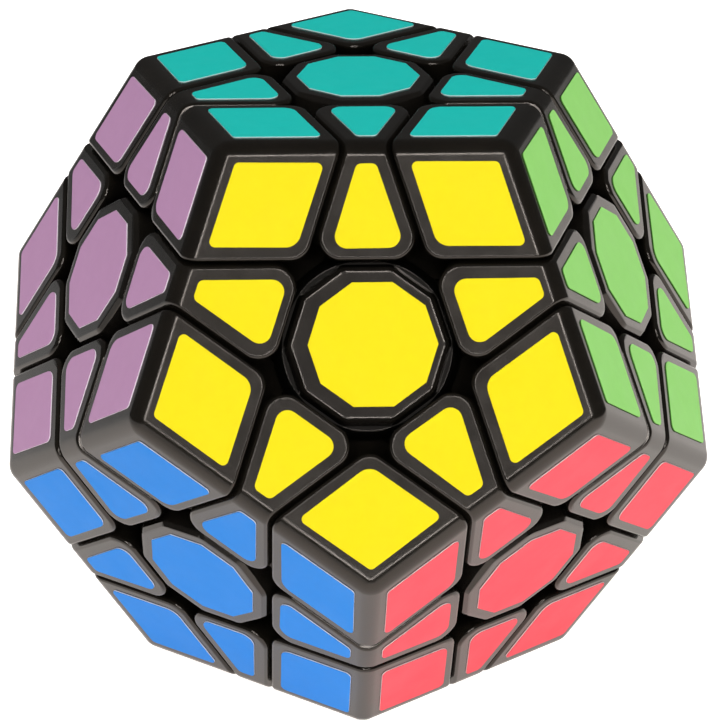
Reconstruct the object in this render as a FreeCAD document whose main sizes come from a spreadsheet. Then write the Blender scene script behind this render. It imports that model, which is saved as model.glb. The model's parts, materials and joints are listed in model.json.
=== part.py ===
"""Dodecahedron twisty puzzle: twelve face layers that turn about screws in one central core.

Origin at the centre of the puzzle, +Z out of the top face, millimetres.
Every piece is made once, as a prototype for the layer that faces +Z, and then turned into place.
"""
import FreeCAD, Part

import itertools
import math
import os

import Sketcher
from FreeCAD import Placement, Rotation, Vector

os.makedirs("parts", exist_ok=True)
doc = FreeCAD.newDocument("dodecahedron_puzzle")

# ---------------------------------------------------------------- driving dimensions, in millimetres

DIMENSIONS = {
    "face_distance": 35.0,          # puzzle's centre to the top of the stickers of a face
    "sticker_thickness": 0.15,
    "cut_depth": 23.25,             # centre to the plane that parts a layer from the rest, outside the shell
    "foot_depth": 19.5,             # centre to the same plane inside the shell, where the feet are
    "shell_radius": 31.5,           # sphere between the feet, inside, and the visible blocks, outside
    "gap": 0.3,                     # free space between two pieces
    "face_cosine": 0.4472136,       # cosine of the angle between the normals of two neighbouring faces
    "reach": 60.0,                  # half-size of the boxes that stand for half-spaces
    "corner_round": 2.5,            # upright edges of a corner's block, towards the faces' centres
    "edge_round": 2.0,              # upright edges of an edge's block
    "ridge_round": 2.3,             # rounding along the edges of the dodecahedron
    "rim_round": 0.45,              # rounding of a block's rim
    "corner_sticker_inner": 10.37,  # face's centre to the near and far sides of a corner sticker
    "corner_sticker_outer": 19.46,
    "edge_sticker_inner": 10.3,
    "edge_sticker_outer": 19.4,
    "edge_sticker_side": 7.0,       # face's centre to the line that an edge sticker's slanting side lies on
    "sticker_round": 0.6,
    "sticker_inner_round": 1.7,
    "edge_sticker_round": 1.3,
    "centre_sticker_radius": 7.0,   # to the points of the decagon
    "cap_top_radius": 8.3,          # to the points of the decagon, as are the next two
    "cap_shoulder_radius": 8.72,
    "cap_skirt_radius": 9.2,
    "cap_shoulder_drop": 0.45,      # cap's top face to its shoulder
    "cap_seat": 32.4,               # puzzle's centre to the seat of a cap
    "plug_radius": 3.15,
    "plug_length": 1.6,
    "bell_top_radius": 9.35,        # the bell is the round flare of a centre piece below its cap
    "bell_radius": 10.25,
    "bell_edge": 30.6,
    "bell_round": 0.5,
    "bell_top_round": 0.35,
    "bell_floor": 28.0,
    "well_radius": 3.25,            # well that holds the spring, the washer and the screw's head
    "well_floor": 22.5,
    "screw_hole_radius": 1.58,
    "shank_radius": 1.5,
    "screw_tip": 12.0,
    "head_base": 28.0,
    "head_radius": 2.75,
    "head_shoulder": 29.2,
    "head_crown_radius": 2.0,
    "head_top": 29.8,
    "recess_half_width": 0.35,
    "recess_half_length": 1.5,
    "recess_depth": 1.1,
    "washer_radius": 2.95,
    "washer_hole_radius": 1.62,
    "washer_base": 27.5,
    "spring_coil_radius": 2.35,
    "spring_wire_side": 0.5,
    "spring_pitch": 1.05,
    "spring_height": 4.2,
    "spring_base": 22.9,            # height of the wire's middle at the spring's lower end
    "hub_radius": 9.5,
    "arm_radius": 4.0,
    "pilot_radius": 1.52,
    "pilot_floor": 11.0,
}

sizes = doc.addObject("Spreadsheet::Sheet", "sizes")
for row, (alias, number) in enumerate(DIMENSIONS.items(), start=1):
    sizes.set(f"A{row}", alias)
    sizes.set(f"B{row}", str(number))
    sizes.setAlias(f"B{row}", alias)
doc.recompute()


def size(alias):
    """Value of a driving dimension, as the sheet holds it."""
    return float(sizes.get(alias))


# ---------------------------------------------------------------- the twelve faces

FACE_ANGLE = math.degrees(math.acos(size("face_cosine")))
FIFTH_TURN = 72.0
UPPER_RING = ("front", "right", "rear_right", "rear_left", "left")
LOWER_RING = ("low_right", "low_rear_right", "low_rear", "low_rear_left", "low_left")


def normal(tilt, azimuth):
    """Unit vector tilted from +Z; azimuth runs from -Y towards +X."""
    return Rotation(Vector(0, 0, 1), azimuth - 90) * Rotation(Vector(0, 1, 0), tilt) * Vector(0, 0, 1)


NORMALS = {"top": normal(0, 0)}
for place, face in enumerate(UPPER_RING):
    NORMALS[face] = normal(FACE_ANGLE, place * FIFTH_TURN)
for place, face in enumerate(LOWER_RING):
    NORMALS[face] = normal(180 - FACE_ANGLE, (place + 0.5) * FIFTH_TURN)
NORMALS["bottom"] = normal(180, 0)


def adjacent(one, other):
    """True where two faces share an edge of the dodecahedron."""
    return abs(NORMALS[one].dot(NORMALS[other]) - size("face_cosine")) < 1e-3


def right_handed(trio):
    """The three faces of a corner, in counter-clockwise order seen from outside."""
    a, b, c = (NORMALS[face] for face in trio)
    return trio if a.cross(b).dot(c) > 0 else (trio[0], trio[2], trio[1])


EDGES = [pair for pair in itertools.combinations(NORMALS, 2) if adjacent(*pair)]
CORNERS = [
    right_handed(trio) for trio in itertools.combinations(NORMALS, 3)
    if all(adjacent(*pair) for pair in itertools.combinations(trio, 2))
]
TURNING = ("front", "rear_right", "bottom")   # three layers that share no piece


def axes_of(first, second):
    """Right-handed axes set up on the normals of two neighbouring faces, as a matrix."""
    a = NORMALS[first]
    across = a.cross(NORMALS[second]).normalize()
    third = a.cross(across)
    return FreeCAD.Matrix(
        a.x, across.x, third.x, 0,
        a.y, across.y, third.y, 0,
        a.z, across.z, third.z, 0,
        0, 0, 0, 1,
    )


def turn_to(first, second):
    """Rotation that takes the top face and its front neighbour to two other neighbouring faces."""
    return Placement(axes_of(first, second) * axes_of("top", "front").inverse()).Rotation


def any_neighbour(face):
    return next(other for other in NORMALS if adjacent(face, other))


FACE_TURN = {face: turn_to(face, any_neighbour(face)) for face in NORMALS}


# ---------------------------------------------------------------- building blocks

FACE_PLANE = "sizes.face_distance - sizes.sticker_thickness"
BLOCK_FLOOR = "sizes.cut_depth + sizes.gap / 2"
BLOCK_SIDE = "sizes.cut_depth - sizes.gap / 2"
FOOT_FLOOR = "sizes.foot_depth + sizes.gap / 2"
FOOT_SIDE = "sizes.foot_depth - sizes.gap / 2"


def bind(feature, **expressions):
    """Bind properties to the sheet; a double underscore in a name stands for a sub-property's dot."""
    for name, expression in expressions.items():
        feature.setExpression(name.replace("__", "."), expression)
    return feature


def turned(source, name, rotation):
    """A copy of source, turned about the centre of the puzzle."""
    copy = doc.addObject("Part::Compound", name)
    copy.Links = [source]
    copy.Placement = Placement(Vector(0, 0, 0), rotation)
    return copy


def boolean(kind, name, base, tool):
    feature = doc.addObject(f"Part::{kind}", name)
    feature.Base = base
    feature.Tool = tool
    return feature


def common(name, first, *others):
    """Intersection of any number of objects, taken two at a time."""
    result = first
    for count, other in enumerate(others, start=1):
        result = boolean("Common", f"{name}_{count}", result, other)
    return result


def fused(name, *members):
    feature = doc.addObject("Part::MultiFuse", name)
    feature.Shapes = list(members)
    return feature


def box(name, low, high):
    """A box between two corners, each given as three expressions."""
    feature = doc.addObject("Part::Box", name)
    return bind(
        feature,
        Length=f"({high[0]}) - ({low[0]})",
        Width=f"({high[1]}) - ({low[1]})",
        Height=f"({high[2]}) - ({low[2]})",
        Placement__Base__x=low[0], Placement__Base__y=low[1], Placement__Base__z=low[2],
    )


def layer(name, low, high):
    """The space between two heights above the puzzle's centre, as a wide box."""
    return box(name, ("-sizes.reach", "-sizes.reach", low), ("sizes.reach", "sizes.reach", high))


def strip(name, near, far):
    """A strip of sticker on the top face, between two distances from its centre towards the front."""
    return box(
        name, ("-sizes.reach", f"-({far})", FACE_PLANE), ("sizes.reach", f"-({near})", "sizes.face_distance"),
    )


def ball(name, radius):
    return bind(doc.addObject("Part::Sphere", name), Radius=radius)


def cylinder(name, radius, base, top):
    """An upright cylinder on the Z axis between two heights."""
    feature = doc.addObject("Part::Cylinder", name)
    return bind(feature, Radius=radius, Height=f"({top}) - ({base})", Placement__Base__z=base)


def middle_of(edge):
    return edge.valueAt((edge.FirstParameter + edge.LastParameter) / 2)


def is_crease(shape, edge):
    """True if the two surfaces that meet at an edge don't run smoothly into each other."""
    point = middle_of(edge)
    faces = shape.ancestorsOfType(edge, Part.Face)
    slopes = [face.normalAt(*face.Surface.parameter(point)) for face in faces]
    return slopes[0].getAngle(slopes[-1]) > math.radians(5)


def dress(name, base, radius_of):
    """Round some creases of base; radius_of gives a radius for an edge's middle, or None to leave it."""
    doc.recompute()
    feature = doc.addObject("Part::Fillet", name)
    feature.Base = base
    shape = base.Shape
    creases = [(number, edge) for number, edge in enumerate(shape.Edges, start=1) if is_crease(shape, edge)]
    sized = [(number, radius_of(middle_of(edge))) for number, edge in creases]
    feature.Edges = [(number, radius, radius) for number, radius in sized if radius]
    return feature


layer_slab = layer("layer_slab", BLOCK_FLOOR, FACE_PLANE)
below_cut = layer("below_cut", "-sizes.reach", BLOCK_SIDE)
foot_slab = layer("foot_slab", FOOT_FLOOR, "sizes.reach")
below_foot_cut = layer("below_foot_cut", "-sizes.reach", FOOT_SIDE)
foot_ball = ball("foot_ball", "sizes.shell_radius - sizes.gap / 2")
shell_ball = ball("shell_ball", "sizes.shell_radius + sizes.gap / 2")


def regions(name, *limits):
    """Intersection of turned half-spaces; each limit is a half-space and the faces that it is turned to."""
    members = [
        turned(space, f"{name}_{space.Name}_{face}", FACE_TURN[face])
        for space, faces in limits for face in faces
    ]
    return common(name, *members)


def planes_at(point, faces, height):
    """How many of the faces' planes at a height the point lies on."""
    return sum(abs(point.dot(NORMALS[face]) - height) < 1e-4 for face in faces)


def finish_block(name, block, faces, sides, upright_radius):
    """Round a visible block's upright edges and its ridges, and soften the rim of its faces."""
    face_plane = size("face_distance") - size("sticker_thickness")
    floor = size("cut_depth") + size("gap") / 2
    side = size("cut_depth") - size("gap") / 2
    rim_floor = face_plane - size("ridge_round") * 0.4

    def upright_edge(point):
        walls = planes_at(point, faces, floor) + planes_at(point, sides, side)
        is_upright = walls == 2 and planes_at(point, faces, face_plane) == 0
        between = not sides or planes_at(point, sides, side) == 1
        return upright_radius if is_upright and between else None

    def ridge_edge(point):
        return size("ridge_round") if planes_at(point, faces, face_plane) == 2 else None

    def rim_edge(point):
        return size("rim_round") if max(point.dot(NORMALS[face]) for face in faces) > rim_floor else None

    upright = dress(f"{name}_upright", block, upright_edge)
    ridge = dress(f"{name}_ridge", upright, ridge_edge)
    return dress(f"{name}_rim", ridge, rim_edge)


# ---------------------------------------------------------------- corner and edge pieces

def make_corner():
    """Three-coloured piece: a rhombic block, and a foot under its neighbours inside the shell."""
    faces = ("top", "front", "right")
    block = regions("corner_block", (layer_slab, faces))
    block = finish_block("corner_block", block, faces, (), size("corner_round"))
    foot = common("corner_foot", foot_ball, regions("corner_foot_space", (foot_slab, faces)))
    return fused("corner_piece", block, foot)


def make_edge():
    """Two-coloured piece: a waisted block outside the shell, a neck, and a foot inside it."""
    faces = ("top", "front")
    sides = ("right", "left")
    full = regions("edge_block", (layer_slab, faces), (below_cut, sides))
    block = finish_block("edge_block", full, faces, sides, size("edge_round"))
    outer = boolean("Cut", "edge_outer", block, shell_ball)
    neck_sides = regions("edge_neck_space", (below_foot_cut, sides))
    neck = common("edge_neck", block, neck_sides)
    foot = common("edge_foot", foot_ball, regions("edge_foot_space", (foot_slab, faces)), neck_sides)
    return fused("edge_piece", outer, neck, foot)


# ---------------------------------------------------------------- centre piece, cap and screw set

def base_plane(body, role):
    return next(feature for feature in body.Origin.OriginFeatures if feature.Role == role)


def new_sketch(body, name, role, height=None):
    """A sketch on one of the body's own base planes, raised to a height of the sheet."""
    sketch = body.newObject("Sketcher::SketchObject", name)
    sketch.AttachmentSupport = [(base_plane(body, role), "")]
    sketch.MapMode = "FlatFace"
    if height:
        bind(sketch, AttachmentOffset__Base__z=height)
    return sketch


def outline(sketch, points):
    """A closed outline; each point is a pair of sheet names, and None puts it on the vertical axis."""
    spots = [Vector(size(x) if x else 0, size(y), 0) for x, y in points]
    for start, end in zip(spots, spots[1:] + spots[:1]):
        sketch.addGeometry(Part.LineSegment(start, end))
    for line in range(len(points)):
        sketch.addConstraint(Sketcher.Constraint("Coincident", line, 2, (line + 1) % len(points), 1))
    for line, (x, y) in enumerate(points):
        if x:
            pin = sketch.addConstraint(Sketcher.Constraint("DistanceX", -1, 1, line, 1, size(x)))
            sketch.setExpression(f"Constraints[{pin}]", f"sizes.{x}")
        else:
            sketch.addConstraint(Sketcher.Constraint("PointOnObject", line, 1, -2))
        pin = sketch.addConstraint(Sketcher.Constraint("DistanceY", -1, 1, line, 1, size(y)))
        sketch.setExpression(f"Constraints[{pin}]", f"sizes.{y}")


def circle(sketch, radius):
    """A circle round the sketch's origin, with its radius bound to a name of the sheet."""
    index = sketch.addGeometry(Part.Circle(Vector(0, 0, 0), Vector(0, 0, 1), size(radius)))
    sketch.addConstraint(Sketcher.Constraint("Coincident", index, 3, -1, 1))
    pin = sketch.addConstraint(Sketcher.Constraint("Radius", index, size(radius)))
    sketch.setExpression(f"Constraints[{pin}]", f"sizes.{radius}")


def revolved(name, points):
    """A PartDesign body turned from an outline about the Z axis."""
    body = doc.addObject("PartDesign::Body", name)
    sketch = new_sketch(body, f"{name}_profile", "XZ_Plane")
    outline(sketch, points)
    turn = body.newObject("PartDesign::Revolution", f"{name}_turn")
    turn.Profile = sketch
    turn.ReferenceAxis = (sketch, ["V_Axis"])
    turn.Angle = 360
    return body


def make_centre():
    """Centre piece: a five-sided column that widens inwards, a round bell over it, and the screw's well."""
    bell = revolved("centre_bell", [
        (None, "bell_floor"), ("bell_radius", "bell_floor"), ("bell_radius", "bell_edge"),
        ("bell_top_radius", "cap_seat"), (None, "cap_seat"),
    ])
    rounds = {"bell_edge": "bell_round", "cap_seat": "bell_top_round"}

    def bell_edge(point):
        if math.hypot(point.x, point.y) < size("bell_top_radius") - 1e-3:
            return None
        level = next((edge for edge in rounds if abs(point.z - size(edge)) < 1e-3), None)
        return size(rounds[level]) if level else None

    plate = boolean("Cut", "centre_plate", dress("centre_bell_round", bell, bell_edge), shell_ball)
    neighbours = [face for face in NORMALS if adjacent("top", face)]
    column = common(
        "centre_column", layer("column_span", FOOT_FLOOR, "sizes.cap_seat"),
        regions("column_space", (below_foot_cut, neighbours)),
    )
    well = cylinder("centre_well", "sizes.well_radius", "sizes.well_floor", "sizes.face_distance")
    hole = cylinder("centre_hole", "sizes.screw_hole_radius", "sizes.screw_tip", "sizes.face_distance")
    solid = fused("centre_solid", plate, column)
    return boolean("Cut", "centre_piece", solid, fused("centre_bores", well, hole))


def decagon(name, radius, height):
    """A ten-sided wire with two of its sides square to every neighbouring face."""
    wire = doc.addObject("Part::RegularPolygon", name)
    wire.Polygon = 10
    wire.Placement = Placement(Vector(0, 0, 0), Rotation(Vector(0, 0, 1), 0))
    return bind(wire, Circumradius=radius, Placement__Base__z=height)


def make_cap():
    """Ten-sided centre cap: a flat top, a narrow slope, flared sides and a plug for the well."""
    top = "sizes.face_distance - sizes.sticker_thickness"
    cap = doc.addObject("Part::Loft", "cap_shell")
    cap.Sections = [
        decagon("cap_top_edge", "sizes.cap_top_radius", top),
        decagon("cap_shoulder", "sizes.cap_shoulder_radius", f"{top} - sizes.cap_shoulder_drop"),
        decagon("cap_skirt", "sizes.cap_skirt_radius", "sizes.cap_seat"),
    ]
    cap.Solid = True
    cap.Ruled = True
    plug = cylinder("cap_plug", "sizes.plug_radius", "sizes.cap_seat - sizes.plug_length", top)
    return fused("cap_piece", cap, plug)


def make_screw():
    """Pan-head screw with a cross recess; it runs through the centre piece into the core's arm."""
    screw = revolved("screw_piece", [
        (None, "screw_tip"), ("shank_radius", "screw_tip"), ("shank_radius", "head_base"),
        ("head_radius", "head_base"), ("head_radius", "head_shoulder"), ("head_crown_radius", "head_top"),
        (None, "head_top"),
    ])
    recess = new_sketch(screw, "recess_slot", "XY_Plane", "sizes.head_top")
    slot(recess, "recess_half_length", "recess_half_width")
    pocket = screw.newObject("PartDesign::Pocket", "recess_cut")
    pocket.Profile = recess
    bind(pocket, Length="sizes.recess_depth")
    cross = screw.newObject("PartDesign::PolarPattern", "recess_cross")
    cross.Originals = [pocket]
    cross.Axis = (recess, ["N_Axis"])
    cross.Angle = 90
    cross.Occurrences = 2
    screw.Tip = cross
    return screw


def slot(sketch, half_length, half_width):
    """A rectangle round the sketch's origin."""
    x = size(half_length)
    y = size(half_width)
    spots = [Vector(-x, -y, 0), Vector(x, -y, 0), Vector(x, y, 0), Vector(-x, y, 0)]
    for start, end in zip(spots, spots[1:] + spots[:1]):
        sketch.addGeometry(Part.LineSegment(start, end))
    for line in range(4):
        sketch.addConstraint(Sketcher.Constraint("Coincident", line, 2, (line + 1) % 4, 1))
        sketch.addConstraint(Sketcher.Constraint("Vertical" if line % 2 else "Horizontal", line))
    sketch.addConstraint(Sketcher.Constraint("Symmetric", 0, 1, 2, 1, -1, 1))
    for kind, name in (("DistanceX", half_length), ("DistanceY", half_width)):
        pin = sketch.addConstraint(Sketcher.Constraint(kind, -1, 1, 2, 1, size(name)))
        sketch.setExpression(f"Constraints[{pin}]", f"sizes.{name}")


def make_washer():
    washer = doc.addObject("PartDesign::Body", "washer_piece")
    ring = new_sketch(washer, "washer_ring", "XY_Plane", "sizes.washer_base")
    circle(ring, "washer_radius")
    circle(ring, "washer_hole_radius")
    pad = washer.newObject("PartDesign::Pad", "washer_pad")
    pad.Profile = ring
    bind(pad, Length="sizes.head_base - sizes.washer_base")
    return washer


def make_spring():
    """Compression spring: a square wire swept along a helix."""
    helix = doc.addObject("Part::Helix", "spring_line")
    bind(
        helix, Radius="sizes.spring_coil_radius", Pitch="sizes.spring_pitch", Height="sizes.spring_height",
        Placement__Base__z="sizes.spring_base",
    )
    wire = doc.addObject("Part::RegularPolygon", "spring_wire")
    wire.Polygon = 4
    wire.Placement = Placement(Vector(0, 0, 0), Rotation(Vector(1, 0, 0), 90) * Rotation(Vector(0, 0, 1), 45))
    bind(
        wire, Circumradius="sizes.spring_wire_side / sqrt(2)", Placement__Base__x="sizes.spring_coil_radius",
        Placement__Base__z="sizes.spring_base",
    )
    spring = doc.addObject("Part::Sweep", "spring_piece")
    spring.Sections = [wire]
    spring.Spine = (helix, ["Edge1"])
    spring.Solid = True
    spring.Frenet = True
    return spring


def make_core():
    """Spider core: a hub with twelve arms, each with a pilot hole for its screw."""
    arm = cylinder("core_arm", "sizes.arm_radius", "0", FOOT_SIDE)
    pilot = cylinder("core_pilot", "sizes.pilot_radius", "sizes.pilot_floor", "sizes.reach")
    arms = [turned(arm, f"core_arm_{face}", turn) for face, turn in FACE_TURN.items()]
    pilots = [turned(pilot, f"core_pilot_{face}", turn) for face, turn in FACE_TURN.items()]
    solid = fused("core_solid", ball("core_hub", "sizes.hub_radius"), *arms)
    return boolean("Cut", "core_piece", solid, fused("core_pilots", *pilots))


# ---------------------------------------------------------------- stickers

def make_corner_sticker():
    """Rhombic sticker on the top face, between its front and right neighbours."""
    side = strip("corner_sticker_strip", "sizes.corner_sticker_inner", "sizes.corner_sticker_outer")
    rhombus = common("corner_sticker_rhombus", side, about_axis(side, "corner_sticker_cross", 1))
    inner = size("corner_sticker_inner")
    reach = inner / math.cos(math.radians(FIFTH_TURN / 2))

    def vertex_round(point):
        if not upright_on_sticker(point):
            return None
        is_inner = math.hypot(point.x, point.y) < reach + 1e-3
        return size("sticker_inner_round") if is_inner else size("sticker_round")

    return dress("corner_sticker", rhombus, vertex_round)


def make_edge_sticker():
    """Four-sided sticker on the top face that narrows towards its front neighbour."""
    side = strip("edge_sticker_strip", "sizes.edge_sticker_inner", "sizes.edge_sticker_outer")
    within = strip("edge_sticker_within", "-sizes.reach", "sizes.edge_sticker_side")
    wedge = common(
        "edge_sticker_wedge", side,
        about_axis(within, "edge_sticker_side_1", 1), about_axis(within, "edge_sticker_side_2", -1),
    )

    def vertex_round(point):
        if not upright_on_sticker(point):
            return None
        is_wide = abs(point.y + size("edge_sticker_inner")) < 1e-3
        return size("edge_sticker_round") if is_wide else size("sticker_round")

    return dress("edge_sticker", wedge, vertex_round)


def make_centre_sticker():
    sticker = doc.addObject("Part::Prism", "centre_sticker")
    sticker.Polygon = 10
    return bind(
        sticker, Circumradius="sizes.centre_sticker_radius", Height="sizes.sticker_thickness",
        Placement__Base__z=FACE_PLANE,
    )


def about_axis(source, name, fifths):
    """A copy turned about the Z axis by a number of fifths of a turn."""
    return turned(source, name, Rotation(Vector(0, 0, 1), fifths * FIFTH_TURN))


def upright_on_sticker(point):
    """True at the middle of one of a sticker's short upright edges."""
    return abs(point.z - size("face_distance") + size("sticker_thickness") / 2) < 1e-3


# ---------------------------------------------------------------- assembly

def body_of(faces):
    """The turning layer that a piece belongs to, or the core."""
    return next((face for face in faces if face in TURNING), "core")


def lower_owner(pair):
    """The lower side face that a piece between two faces is grouped with, or None."""
    lower = [face for face in pair if face in LOWER_RING]
    if len(lower) < 2:
        return lower[0] if lower else None
    first, second = lower
    follows = LOWER_RING[(LOWER_RING.index(first) + 1) % len(LOWER_RING)]
    return first if second == follows else second


corner_piece = make_corner()
edge_piece = make_edge()
centre_piece = make_centre()
cap_piece = make_cap()
stickers = {1: make_centre_sticker(), 2: make_edge_sticker(), 3: make_corner_sticker()}

members = {}     # node name to the placed copies that it holds


def place(node, source, rotation):
    held = members.setdefault(node, [])
    held.append(turned(source, f"{node}_copy_{len(held) + 1}", rotation))


place("spider_core", make_core(), Rotation())
fasteners = {
    "tension_screws": make_screw(),
    "tension_washers": make_washer(),
    "tension_springs": make_spring(),
}
for node, source in fasteners.items():
    for face in NORMALS:
        place(node, source, FACE_TURN[face])

for face in NORMALS:
    is_turning = face in TURNING
    place(f"{face}_centre" if is_turning else "other_centres", centre_piece, FACE_TURN[face])
    place(f"{face}_cap" if is_turning else "other_caps", cap_piece, FACE_TURN[face])
    place(f"{body_of([face])}_stickers", stickers[1], FACE_TURN[face])

for pair in EDGES:
    owner = lower_owner(pair)
    shared = body_of(pair) == "core" and owner is not None
    node = f"{owner}_edges" if shared else "edge_" + "_".join(pair)
    place(node, edge_piece, turn_to(*pair))
    for first, second in (pair, pair[::-1]):
        place(f"{body_of(pair)}_stickers", stickers[2], turn_to(first, second))

for trio in CORNERS:
    place("corner_" + "_".join(trio), corner_piece, turn_to(*trio[:2]))
    for start in range(3):
        first, second = trio[start], trio[(start + 1) % 3]
        place(f"{body_of(trio)}_stickers", stickers[3], turn_to(first, second))

nodes = {}
for name, copies in members.items():
    node = doc.addObject("Part::Compound", name)
    node.Label = name
    node.Links = copies
    nodes[name] = node

doc.recompute()

faulty = [item.Name for item in doc.Objects if {"Invalid", "Error"} & set(item.State)]
if faulty:
    raise RuntimeError(f"features that failed: {faulty}")
for name, node in nodes.items():
    if node.Shape.isNull() or not node.Shape.isValid():
        raise RuntimeError(f"{name} has no valid shape")
    if len(node.Shape.Solids) != len(members[name]):
        raise RuntimeError(f"{name} holds {len(node.Shape.Solids)} solids for {len(members[name])} pieces")

for name, node in nodes.items():
    node.Shape.exportStep(f"parts/{name}.step")
print(len(nodes), "nodes,", sum(len(copies) for copies in members.values()), "pieces")
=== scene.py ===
"""Looks of the dodecahedron twisty puzzle: black plastic pieces, vinyl stickers, a white studio."""
import itertools
import json
import math
import random

import bpy
from mathutils import Matrix, Vector


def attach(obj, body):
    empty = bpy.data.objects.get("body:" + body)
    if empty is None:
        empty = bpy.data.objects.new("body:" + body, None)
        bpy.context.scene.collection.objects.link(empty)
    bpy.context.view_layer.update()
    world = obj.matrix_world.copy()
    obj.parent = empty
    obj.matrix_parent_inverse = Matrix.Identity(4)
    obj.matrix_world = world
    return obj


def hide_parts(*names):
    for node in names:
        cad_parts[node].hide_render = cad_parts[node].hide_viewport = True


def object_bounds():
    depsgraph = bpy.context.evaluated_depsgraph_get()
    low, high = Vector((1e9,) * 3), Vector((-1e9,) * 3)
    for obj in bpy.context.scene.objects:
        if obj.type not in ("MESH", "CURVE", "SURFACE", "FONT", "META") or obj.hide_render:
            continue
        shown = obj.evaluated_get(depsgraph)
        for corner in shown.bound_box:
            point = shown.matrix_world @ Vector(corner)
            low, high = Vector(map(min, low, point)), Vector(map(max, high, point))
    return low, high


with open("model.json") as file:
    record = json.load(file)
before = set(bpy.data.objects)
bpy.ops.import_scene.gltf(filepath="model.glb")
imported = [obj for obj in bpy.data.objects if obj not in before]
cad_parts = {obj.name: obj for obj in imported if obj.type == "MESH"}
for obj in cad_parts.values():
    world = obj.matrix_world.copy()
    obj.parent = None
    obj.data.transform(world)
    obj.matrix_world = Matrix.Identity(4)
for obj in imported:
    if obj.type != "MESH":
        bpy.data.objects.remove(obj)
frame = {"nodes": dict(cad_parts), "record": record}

cad_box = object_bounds()

MM = 0.001

# ---------------------------------------------------------------- the puzzle's geometry, in millimetres

FACE_DISTANCE = 35.0        # centre to the top of the stickers
FACE_ANGLE = math.degrees(math.acos(1 / math.sqrt(5)))
FIFTH_TURN = 72.0

UPPER_RING = ("front", "right", "rear_right", "rear_left", "left")
LOWER_RING = ("low_right", "low_rear_right", "low_rear", "low_rear_left", "low_left")
TURNING = ("front", "rear_right", "bottom")

COLOURS = {
    "top": "teal", "front": "yellow", "right": "green", "rear_right": "orange", "rear_left": "pink",
    "left": "purple", "low_right": "red", "low_rear_right": "dark_green", "low_rear": "white",
    "low_rear_left": "grey", "low_left": "blue", "bottom": "cream",
}


def normal(tilt, azimuth):
    """Unit vector tilted from +Z, in degrees; azimuth runs from -Y towards +X."""
    tilt, azimuth = math.radians(tilt), math.radians(azimuth)
    flat = math.sin(tilt)
    return Vector((flat * math.sin(azimuth), -flat * math.cos(azimuth), math.cos(tilt)))


NORMALS = {"top": normal(0, 0)}
for place, face in enumerate(UPPER_RING):
    NORMALS[face] = normal(FACE_ANGLE, place * FIFTH_TURN)
for place, face in enumerate(LOWER_RING):
    NORMALS[face] = normal(180 - FACE_ANGLE, (place + 0.5) * FIFTH_TURN)
NORMALS["bottom"] = normal(180, 0)


def adjacent(one, other):
    """True if two faces share an edge."""
    return abs(NORMALS[one].dot(NORMALS[other]) - math.cos(math.radians(FACE_ANGLE))) < 1e-3


def body_of(faces):
    """The body that carries a piece with these faces."""
    turning = next((face for face in faces if face in TURNING), None)
    return f"{turning}_layer" if turning else "core"


def face_axes(face, neighbour):
    """Matrix of columns: towards the neighbour in the face's plane, across it, and the face's normal."""
    up = NORMALS[face]
    towards = (NORMALS[neighbour] - up * up.dot(NORMALS[neighbour])).normalized()
    return Matrix((towards, up.cross(towards), up)).transposed()


# ---------------------------------------------------------------- materials

def srgb(red, green, blue):
    """Linear colour from 8-bit display values."""
    def linear(value):
        value /= 255
        return value / 12.92 if value <= 0.04045 else ((value + 0.055) / 1.055) ** 2.4
    return (linear(red), linear(green), linear(blue), 1.0)


class Nodes:
    """A small helper for building a material's node tree."""

    def __init__(self, name):
        self.material = bpy.data.materials.new(name)
        self.material.use_nodes = True
        self.tree = self.material.node_tree
        self.shader = self.tree.nodes["Principled BSDF"]
        self.place = self.add("ShaderNodeTexCoord").outputs["Object"]

    def add(self, kind, **inputs):
        node = self.tree.nodes.new(kind)
        for name, value in inputs.items():
            node.inputs[name.replace("_", " ")].default_value = value
        return node

    def link(self, source, target):
        self.tree.links.new(source, target)

    def noise(self, scale, detail=2.0, roughness=0.5):
        node = self.add("ShaderNodeTexNoise", Scale=scale, Detail=detail, Roughness=roughness)
        self.link(self.place, node.inputs["Vector"])
        return node.outputs["Fac"]

    def ramp(self, source, low, high, to_low, to_high):
        node = self.add("ShaderNodeMapRange")
        node.inputs["From Min"].default_value = low
        node.inputs["From Max"].default_value = high
        node.inputs["To Min"].default_value = to_low
        node.inputs["To Max"].default_value = to_high
        self.link(source, node.inputs["Value"])
        return node.outputs["Result"]

    def mix(self, factor, first, second):
        node = self.tree.nodes.new("ShaderNodeMix")
        node.data_type = "RGBA"
        self.link(factor, node.inputs[0])
        node.inputs[6].default_value = first
        node.inputs[7].default_value = second
        return node.outputs[2]

    def bump(self, height, strength, distance):
        node = self.add("ShaderNodeBump", Strength=strength, Distance=distance)
        self.link(height, node.inputs["Height"])
        self.link(node.outputs["Normal"], self.shader.inputs["Normal"])


# Noise scales count features per metre: 220 gives patches of about 5 mm, 4200 a grain of about 0.25 mm.

GRAIN_DEPTH = 0.02 * MM
WARM = (1.0, 0.9, 0.82, 1.0)


def black_plastic(name, colour, smudge, roughness, grain, specular=0.5):
    """Moulded black plastic with a fine grain, faint smudges and uneven polish."""
    nodes = Nodes(name)
    nodes.shader.inputs["Specular IOR Level"].default_value = specular
    nodes.shader.inputs["Specular Tint"].default_value = WARM
    patches = nodes.ramp(nodes.noise(220.0, 4.0, 0.6), 0.4, 0.7, 0.0, 1.0)
    nodes.link(nodes.mix(patches, colour, smudge), nodes.shader.inputs["Base Color"])
    polish = nodes.ramp(nodes.noise(420.0, 3.0, 0.55), 0.3, 0.7, *roughness)
    nodes.link(polish, nodes.shader.inputs["Roughness"])
    nodes.bump(nodes.noise(4200.0), grain, GRAIN_DEPTH)
    return nodes.material


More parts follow.
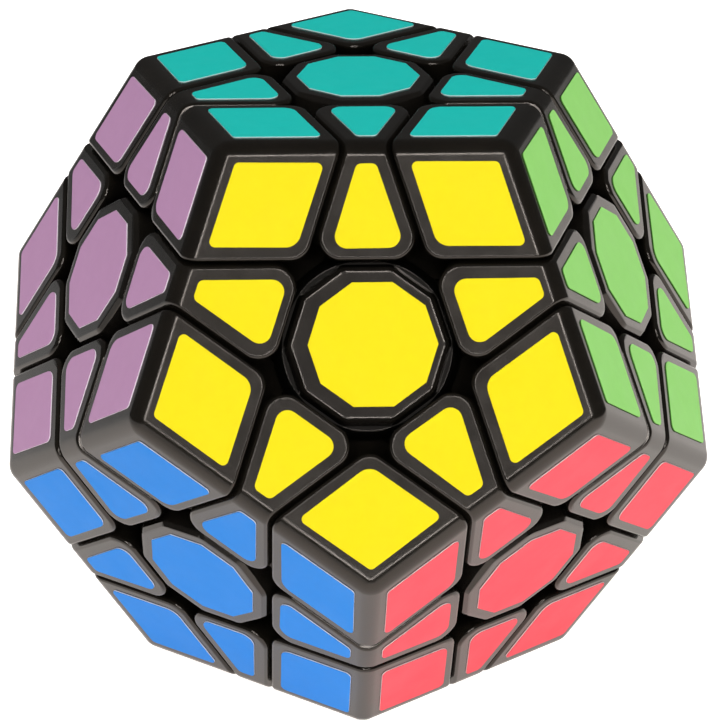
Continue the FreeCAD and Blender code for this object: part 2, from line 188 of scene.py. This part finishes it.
def vinyl(name, tint):
    """Thin vinyl film: flat colour with a faint mottle and a satin sheen."""
    nodes = Nodes(name)
    nodes.shader.inputs["Specular IOR Level"].default_value = 0.08
    darker = tuple(channel * 0.975 for channel in tint[:3]) + (1.0,)
    mottle = nodes.ramp(nodes.noise(700.0, 3.0, 0.6), 0.35, 0.7, 0.0, 1.0)
    nodes.link(nodes.mix(mottle, tint, darker), nodes.shader.inputs["Base Color"])
    sheen = nodes.ramp(nodes.noise(300.0), 0.3, 0.7, 0.42, 0.52)
    nodes.link(sheen, nodes.shader.inputs["Roughness"])
    nodes.bump(nodes.noise(1500.0), 0.15, GRAIN_DEPTH)
    return nodes.material


def steel(name):
    """Plain screw steel with faint stains."""
    nodes = Nodes(name)
    nodes.shader.inputs["Metallic"].default_value = 1.0
    stain = nodes.ramp(nodes.noise(900.0, 3.0), 0.35, 0.7, 0.0, 1.0)
    stained = nodes.mix(stain, srgb(196, 198, 200), srgb(160, 160, 158))
    nodes.link(stained, nodes.shader.inputs["Base Color"])
    polish = nodes.ramp(nodes.noise(1600.0), 0.3, 0.7, 0.25, 0.42)
    nodes.link(polish, nodes.shader.inputs["Roughness"])
    return nodes.material


# Materials of the CAD pieces, by the slot that the record names.
PLASTIC = {
    "piece_plastic": black_plastic(
        "piece_plastic", srgb(15, 13, 10), srgb(21, 18, 14), roughness=(0.15, 0.21), grain=0.06,
    ),
    "cap_plastic": black_plastic(
        "cap_plastic", srgb(14, 12, 10), srgb(20, 18, 15), roughness=(0.13, 0.18), grain=0.05,
    ),
    "centre_plastic": black_plastic(
        "centre_plastic", srgb(6, 6, 5), srgb(9, 8, 8), roughness=(0.07, 0.12), grain=0.03, specular=0.3,
    ),
    "core_plastic": black_plastic(
        "core_plastic", srgb(26, 26, 26), srgb(34, 34, 33), roughness=(0.4, 0.5), grain=0.3,
    ),
    "screw_steel": steel("screw_steel"),
}

VINYL_COLOURS = {
    "yellow": srgb(222, 205, 15), "teal": srgb(31, 190, 180), "green": srgb(141, 208, 108),
    "purple": srgb(184, 140, 177), "red": srgb(218, 74, 87), "blue": srgb(32, 122, 205),
    "orange": srgb(244, 140, 52), "pink": srgb(238, 128, 168), "dark_green": srgb(36, 128, 66),
    "white": srgb(238, 238, 234), "grey": srgb(136, 138, 140), "cream": srgb(240, 226, 176),
}
# The cut edge of a sticker is coloured lighter than its face as a painted highlight line. On these two
# colours it is coloured darker instead, as a painted thin shadow.
PAINTED_SHADOW_CUTS = {"yellow": srgb(150, 122, 20), "green": srgb(70, 118, 48)}
VINYL = {}
for colour, value in VINYL_COLOURS.items():
    # Painted highlight: the cut edge's colour is lifted most of the way to white.
    painted_highlight = tuple(channel + (1 - channel) * 0.65 for channel in value[:3]) + (1.0,)
    painted_cut_tone = PAINTED_SHADOW_CUTS.get(colour, painted_highlight)
    # The second material colours the cut edges with the painted highlight, and with the painted shadow on
    # yellow and green.
    VINYL[colour] = (vinyl(f"vinyl_{colour}", value), vinyl(f"vinyl_{colour}_edge", painted_cut_tone))


# ---------------------------------------------------------------- shading of the CAD pieces

CAP_EDGE = 0.4 * MM
WELD_DISTANCE = 0.002 * MM
BEVEL_ANGLE = math.radians(20)
CREASE_ANGLE = math.radians(28)


def smooth(piece):
    """Let a CAD mesh's rounded surfaces shade smoothly into the flat ones beside them."""
    for polygon in piece.data.polygons:
        polygon.use_smooth = True
    piece.modifiers.new("weld", "WELD").merge_threshold = WELD_DISTANCE
    if piece.name.endswith(("_cap", "_caps")):
        bevel = piece.modifiers.new("soft_edges", "BEVEL")
        bevel.width = CAP_EDGE
        bevel.segments = 4
        bevel.use_clamp_overlap = False
        bevel.limit_method = "ANGLE"
        bevel.angle_limit = BEVEL_ANGLE
    piece.modifiers.new("creases", "EDGE_SPLIT").split_angle = CREASE_ANGLE
    piece.modifiers.new("even_normals", "WEIGHTED_NORMAL").weight = 100


for entry in frame["record"]["subparts"]:
    if entry["material_slot"] in PLASTIC:
        piece = frame["nodes"][entry["node"]]
        piece.data.materials.clear()
        piece.data.materials.append(PLASTIC[entry["material_slot"]])
        smooth(piece)

# ---------------------------------------------------------------- stickers

# Distances from the face's centre to the lines that a sticker's sides lie on, and the radii of its corners.
CENTRE_RADIUS = 7.0
CORNER_NEAR, CORNER_FAR = 10.37, 19.46
CORNER_ROUNDS = (1.7, 0.6, 0.6, 0.6)
EDGE_NEAR, EDGE_FAR, EDGE_SIDE = 10.3, 19.4, 7.0
EDGE_ROUNDS = (1.3, 0.7, 0.7, 1.3)

STICKER_THICKNESS = 0.15
STICKER_BEVEL = 0.05
SHIFT_SPREAD = 0.12             # how far off its place a sticker is stuck, as a standard deviation
TURN_SPREAD = 0.008             # the same for its turn, in radians
FRONT_CENTRE_SHIFT = Vector((0.0, -0.5))


def polygon_from_lines(lines):
    """Corners where neighbouring lines cross; a line is (direction in degrees, distance)."""
    corners = []
    for (a, p), (b, q) in zip(lines, lines[1:] + lines[:1]):
        a, b = math.radians(a), math.radians(b)
        turn = math.sin(b - a)
        corners.append(Vector((
            (p * math.sin(b) - q * math.sin(a)) / turn,
            (q * math.cos(a) - p * math.cos(b)) / turn,
        )))
    return corners


def arc(corner, before, after, radius, steps=7):
    """Points of the arc that rounds a corner between two unit directions along its sides."""
    half = before.angle(after) / 2
    centre = corner + (before + after).normalized() * (radius / math.sin(half))
    start = corner + before * (radius / math.tan(half)) - centre
    end = corner + after * (radius / math.tan(half)) - centre
    first = math.atan2(start.y, start.x)
    sweep = (math.atan2(end.y, end.x) - first + math.pi) % (2 * math.pi) - math.pi
    angles = [first + sweep * step / steps for step in range(steps + 1)]
    return [centre + radius * Vector((math.cos(angle), math.sin(angle))) for angle in angles]


def rounded_outline(corners, radii):
    """Polygon with each corner replaced by an arc of its own radius."""
    points = []
    for index, (corner, radius) in enumerate(zip(corners, radii)):
        before = (corners[index - 1] - corner).normalized()
        after = (corners[(index + 1) % len(corners)] - corner).normalized()
        points += arc(corner, before, after, radius)
    return points


def sticker_outline(kind):
    """Outline of a sticker on a face whose neighbour lies along +X."""
    if kind == "centre":
        angles = [math.radians(18 + 36 * side) for side in range(10)]
        return [CENTRE_RADIUS * Vector((math.cos(angle), math.sin(angle))) for angle in angles]
    if kind == "edge":
        lines = [(180, -EDGE_NEAR), (-FIFTH_TURN, EDGE_SIDE), (0, EDGE_FAR), (FIFTH_TURN, EDGE_SIDE)]
        return rounded_outline(polygon_from_lines(lines), EDGE_ROUNDS)
    near, far = -CORNER_NEAR, CORNER_FAR
    lines = [(180, near), (FIFTH_TURN - 180, near), (0, far), (FIFTH_TURN, far)]
    return rounded_outline(polygon_from_lines(lines), CORNER_ROUNDS)


def add_sticker(mesh_data, outline, matrix, jitter):
    """Append one sticker to (vertices, faces, side flags); jitter shifts and turns it on its face."""
    shift, angle = jitter
    middle = sum(outline, Vector((0, 0))) / len(outline)
    turn = Matrix.Rotation(angle, 2)
    flat = [turn @ (point - middle) + middle + shift for point in outline]
    vertices, faces, sides = mesh_data
    count = len(flat)
    base = len(vertices)
    rings = (
        (0.0, FACE_DISTANCE - STICKER_THICKNESS),
        (0.0, FACE_DISTANCE - STICKER_BEVEL),
        (STICKER_BEVEL, FACE_DISTANCE),
    )
    for inset, height in rings:
        for point in flat:
            inward = (middle + shift - point).normalized() * inset
            spot = matrix @ Vector((point.x + inward.x, point.y + inward.y, height))
            vertices.append(spot * MM)
    for ring in range(len(rings) - 1):
        low = base + ring * count
        for step in range(count):
            after = (step + 1) % count
            faces.append((low + step, low + after, low + count + after, low + count + step))
            sides.append(ring == 0)
    top = base + (len(rings) - 1) * count
    faces.append(tuple(top + step for step in range(count)))
    sides.append(False)
    faces.append(tuple(base + step for step in reversed(range(count))))
    sides.append(True)


def gather_stickers():
    """Mesh data of all the stickers, by body and colour."""
    chance = random.Random(12)
    groups = {}

    def put(kind, face, neighbour, faces):
        shift = Vector((chance.gauss(0, SHIFT_SPREAD), chance.gauss(0, SHIFT_SPREAD)))
        jitter = (shift, chance.gauss(0, TURN_SPREAD))
        if kind == "centre" and face == "front":
            jitter = (FRONT_CENTRE_SHIFT, 0.0)
        data = groups.setdefault((body_of(faces), COLOURS[face]), ([], [], []))
        add_sticker(data, sticker_outline(kind), face_axes(face, neighbour), jitter)

    for face in NORMALS:
        neighbours = [other for other in NORMALS if adjacent(face, other)]
        put("centre", face, neighbours[0], (face,))
        for neighbour in neighbours:
            put("edge", face, neighbour, (face, neighbour))
        for one, other in itertools.permutations(neighbours, 2):
            if adjacent(one, other) and NORMALS[face].cross(NORMALS[one]).dot(NORMALS[other]) > 0:
                put("corner", face, one, (face, one, other))
    return groups


scene = bpy.context.scene

for (body, colour), (vertices, faces, sides) in gather_stickers().items():
    mesh = bpy.data.meshes.new(f"{body}_{colour}_stickers")
    mesh.from_pydata(vertices, [], faces)
    for material in VINYL[colour]:
        mesh.materials.append(material)
    mesh.polygons.foreach_set("material_index", [int(side) for side in sides])
    mesh.update()
    piece = bpy.data.objects.new(mesh.name, mesh)
    scene.collection.objects.link(piece)
    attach(piece, body)
    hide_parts(body.replace("_layer", "") + "_stickers")

# ---------------------------------------------------------------- camera

SENSOR = 36                 # mm
PICTURE_WIDTH = 720         # pixels
FOCAL_LENGTH = 2860.9       # pixels
CAMERA_ANGLES = (-2.444, 24.791, 0.418)
CAMERA_DISTANCE = 340.292
CAMERA_SHIFT = (0.447, -0.576)


def camera_axes(azimuth, elevation, roll=0.0):
    """Right, up and backward directions of a camera that looks at the centre; angles in degrees."""
    azimuth, elevation, roll = (math.radians(angle) for angle in (azimuth, elevation, roll))
    flat = math.cos(elevation)
    back = Vector((math.sin(azimuth) * flat, -math.cos(azimuth) * flat, math.sin(elevation)))
    right = Vector((math.cos(azimuth), math.sin(azimuth), 0))
    up = back.cross(right)
    return (
        right * math.cos(roll) + up * math.sin(roll),
        up * math.cos(roll) - right * math.sin(roll),
        back,
    )


def placed(position, axes):
    """World matrix of a camera or light at a position, with its own three axes."""
    return Matrix.Translation(position) @ Matrix(axes).transposed().to_4x4()


axes = camera_axes(*CAMERA_ANGLES)
right, up, back = axes
lens = bpy.data.cameras.new("camera")
lens.sensor_width = SENSOR
lens.lens = FOCAL_LENGTH / PICTURE_WIDTH * SENSOR
camera = bpy.data.objects.new("camera", lens)
position = (back * CAMERA_DISTANCE + right * CAMERA_SHIFT[0] + up * CAMERA_SHIFT[1]) * MM
camera.matrix_world = placed(position, axes)
scene.collection.objects.link(camera)
scene.camera = camera
scene.view_settings.view_transform = "Standard"

# ---------------------------------------------------------------- stage, in metres

SIDE = 3.0
GROUND = cad_box[0][2] - 0.05 * MM
UNDER = 0.2 * MM
BACKDROP_GLOW = (1.08, 1.05, 1.02, 1.0)
TABLE_GLOW = (1.14, 1.02, 0.93, 1.0)
TABLE_CENTRE = (0.35, 0.2)
GLOW_REACH, GLOW_END = 0.47, 0.6
GLOW_STRENGTH = 0.8


def lay(name, height, glow, walls=False):
    """A pale paper floor, with walls round it where asked; it returns the piece and its nodes."""
    corners = [(-SIDE, -SIDE), (SIDE, -SIDE), (SIDE, SIDE), (-SIDE, SIDE)]
    points = [(x, y, height) for x, y in corners]
    faces = [(0, 1, 2, 3)]
    if walls:
        points += [(x, y, height + SIDE) for x, y in corners]
        faces += [(k, (k + 1) % 4, (k + 1) % 4 + 4, k + 4) for k in range(4)]
    mesh = bpy.data.meshes.new(name)
    mesh.from_pydata(points, [], faces)
    nodes = Nodes(name)
    nodes.shader.inputs["Base Color"].default_value = (0.85, 0.85, 0.85, 1)
    nodes.shader.inputs["Roughness"].default_value = 0.9
    nodes.shader.inputs["Specular IOR Level"].default_value = 0.0
    nodes.shader.inputs["Emission Color"].default_value = glow
    nodes.shader.inputs["Emission Strength"].default_value = 1.0
    mesh.materials.append(nodes.material)
    piece = bpy.data.objects.new(name, mesh)
    scene.collection.objects.link(piece)
    return piece, nodes


# The backdrop is what shows. The table under it lights the puzzle from below, and its glow ends nearer to
# the puzzle on the left than on the right.
backdrop, _ = lay("backdrop", GROUND, BACKDROP_GLOW, walls=True)
backdrop.visible_glossy = backdrop.visible_diffuse = backdrop.visible_shadow = False
table, nodes = lay("table", GROUND - UNDER, TABLE_GLOW)
table.location.xy = TABLE_CENTRE
away = nodes.add("ShaderNodeVectorMath")
away.operation = "LENGTH"
nodes.link(nodes.place, away.inputs[0])
glow = nodes.ramp(away.outputs["Value"], GLOW_REACH, GLOW_END, GLOW_STRENGTH, 0.0)
nodes.link(glow, nodes.shader.inputs["Emission Strength"])

# ---------------------------------------------------------------- light

RING = 34.0                 # radiance of the narrow lights whose mirror images line the pieces' edges
SOFTBOXES = (               # name, azimuth, elevation, distance, width, height, radiance, shows in gloss
    ("above", 2.0, 42.0, 1.0, 0.4, 0.03, RING, True),
    ("below", 2.0, 15.0, 1.0, 0.4, 0.03, RING, True),
    ("left", -14.0, 28.0, 1.0, 0.03, 0.4, RING, True),
    ("right", 18.0, 28.0, 1.0, 0.03, 0.4, RING, True),
    ("front_fill", 2.0, 28.0, 1.0, 0.42, 0.42, 0.43, True),
    ("overhead", 0.0, 72.0, 1.2, 1.2, 1.2, 1.9, False),
    ("side_left", -75.0, 30.0, 1.2, 0.8, 0.8, 1.1, False),
    ("side_right", 75.0, 30.0, 1.2, 0.8, 0.8, 1.1, False),
    ("rear", 180.0, 25.0, 1.2, 0.8, 0.8, 1.1, False),
)


def softbox(name, azimuth, elevation, distance, width, height, radiance, glossy):
    """A rectangular light that faces the puzzle; its radiance doesn't depend on its size."""
    light = bpy.data.lights.new(name, "AREA")
    light.shape = "RECTANGLE"
    light.size = width
    light.size_y = height
    light.energy = radiance * math.pi * width * height
    axes = camera_axes(azimuth, elevation)
    box = bpy.data.objects.new(name, light)
    box.matrix_world = placed(axes[2] * distance, axes)
    box.visible_glossy = glossy
    scene.collection.objects.link(box)


for settings in SOFTBOXES:
    softbox(*settings)

world = bpy.data.worlds.new("studio")
scene.world = world
world.use_nodes = True
world.node_tree.nodes["Background"].inputs["Color"].default_value = (1, 1, 1, 1)
world.node_tree.nodes["Background"].inputs["Strength"].default_value = 0.09
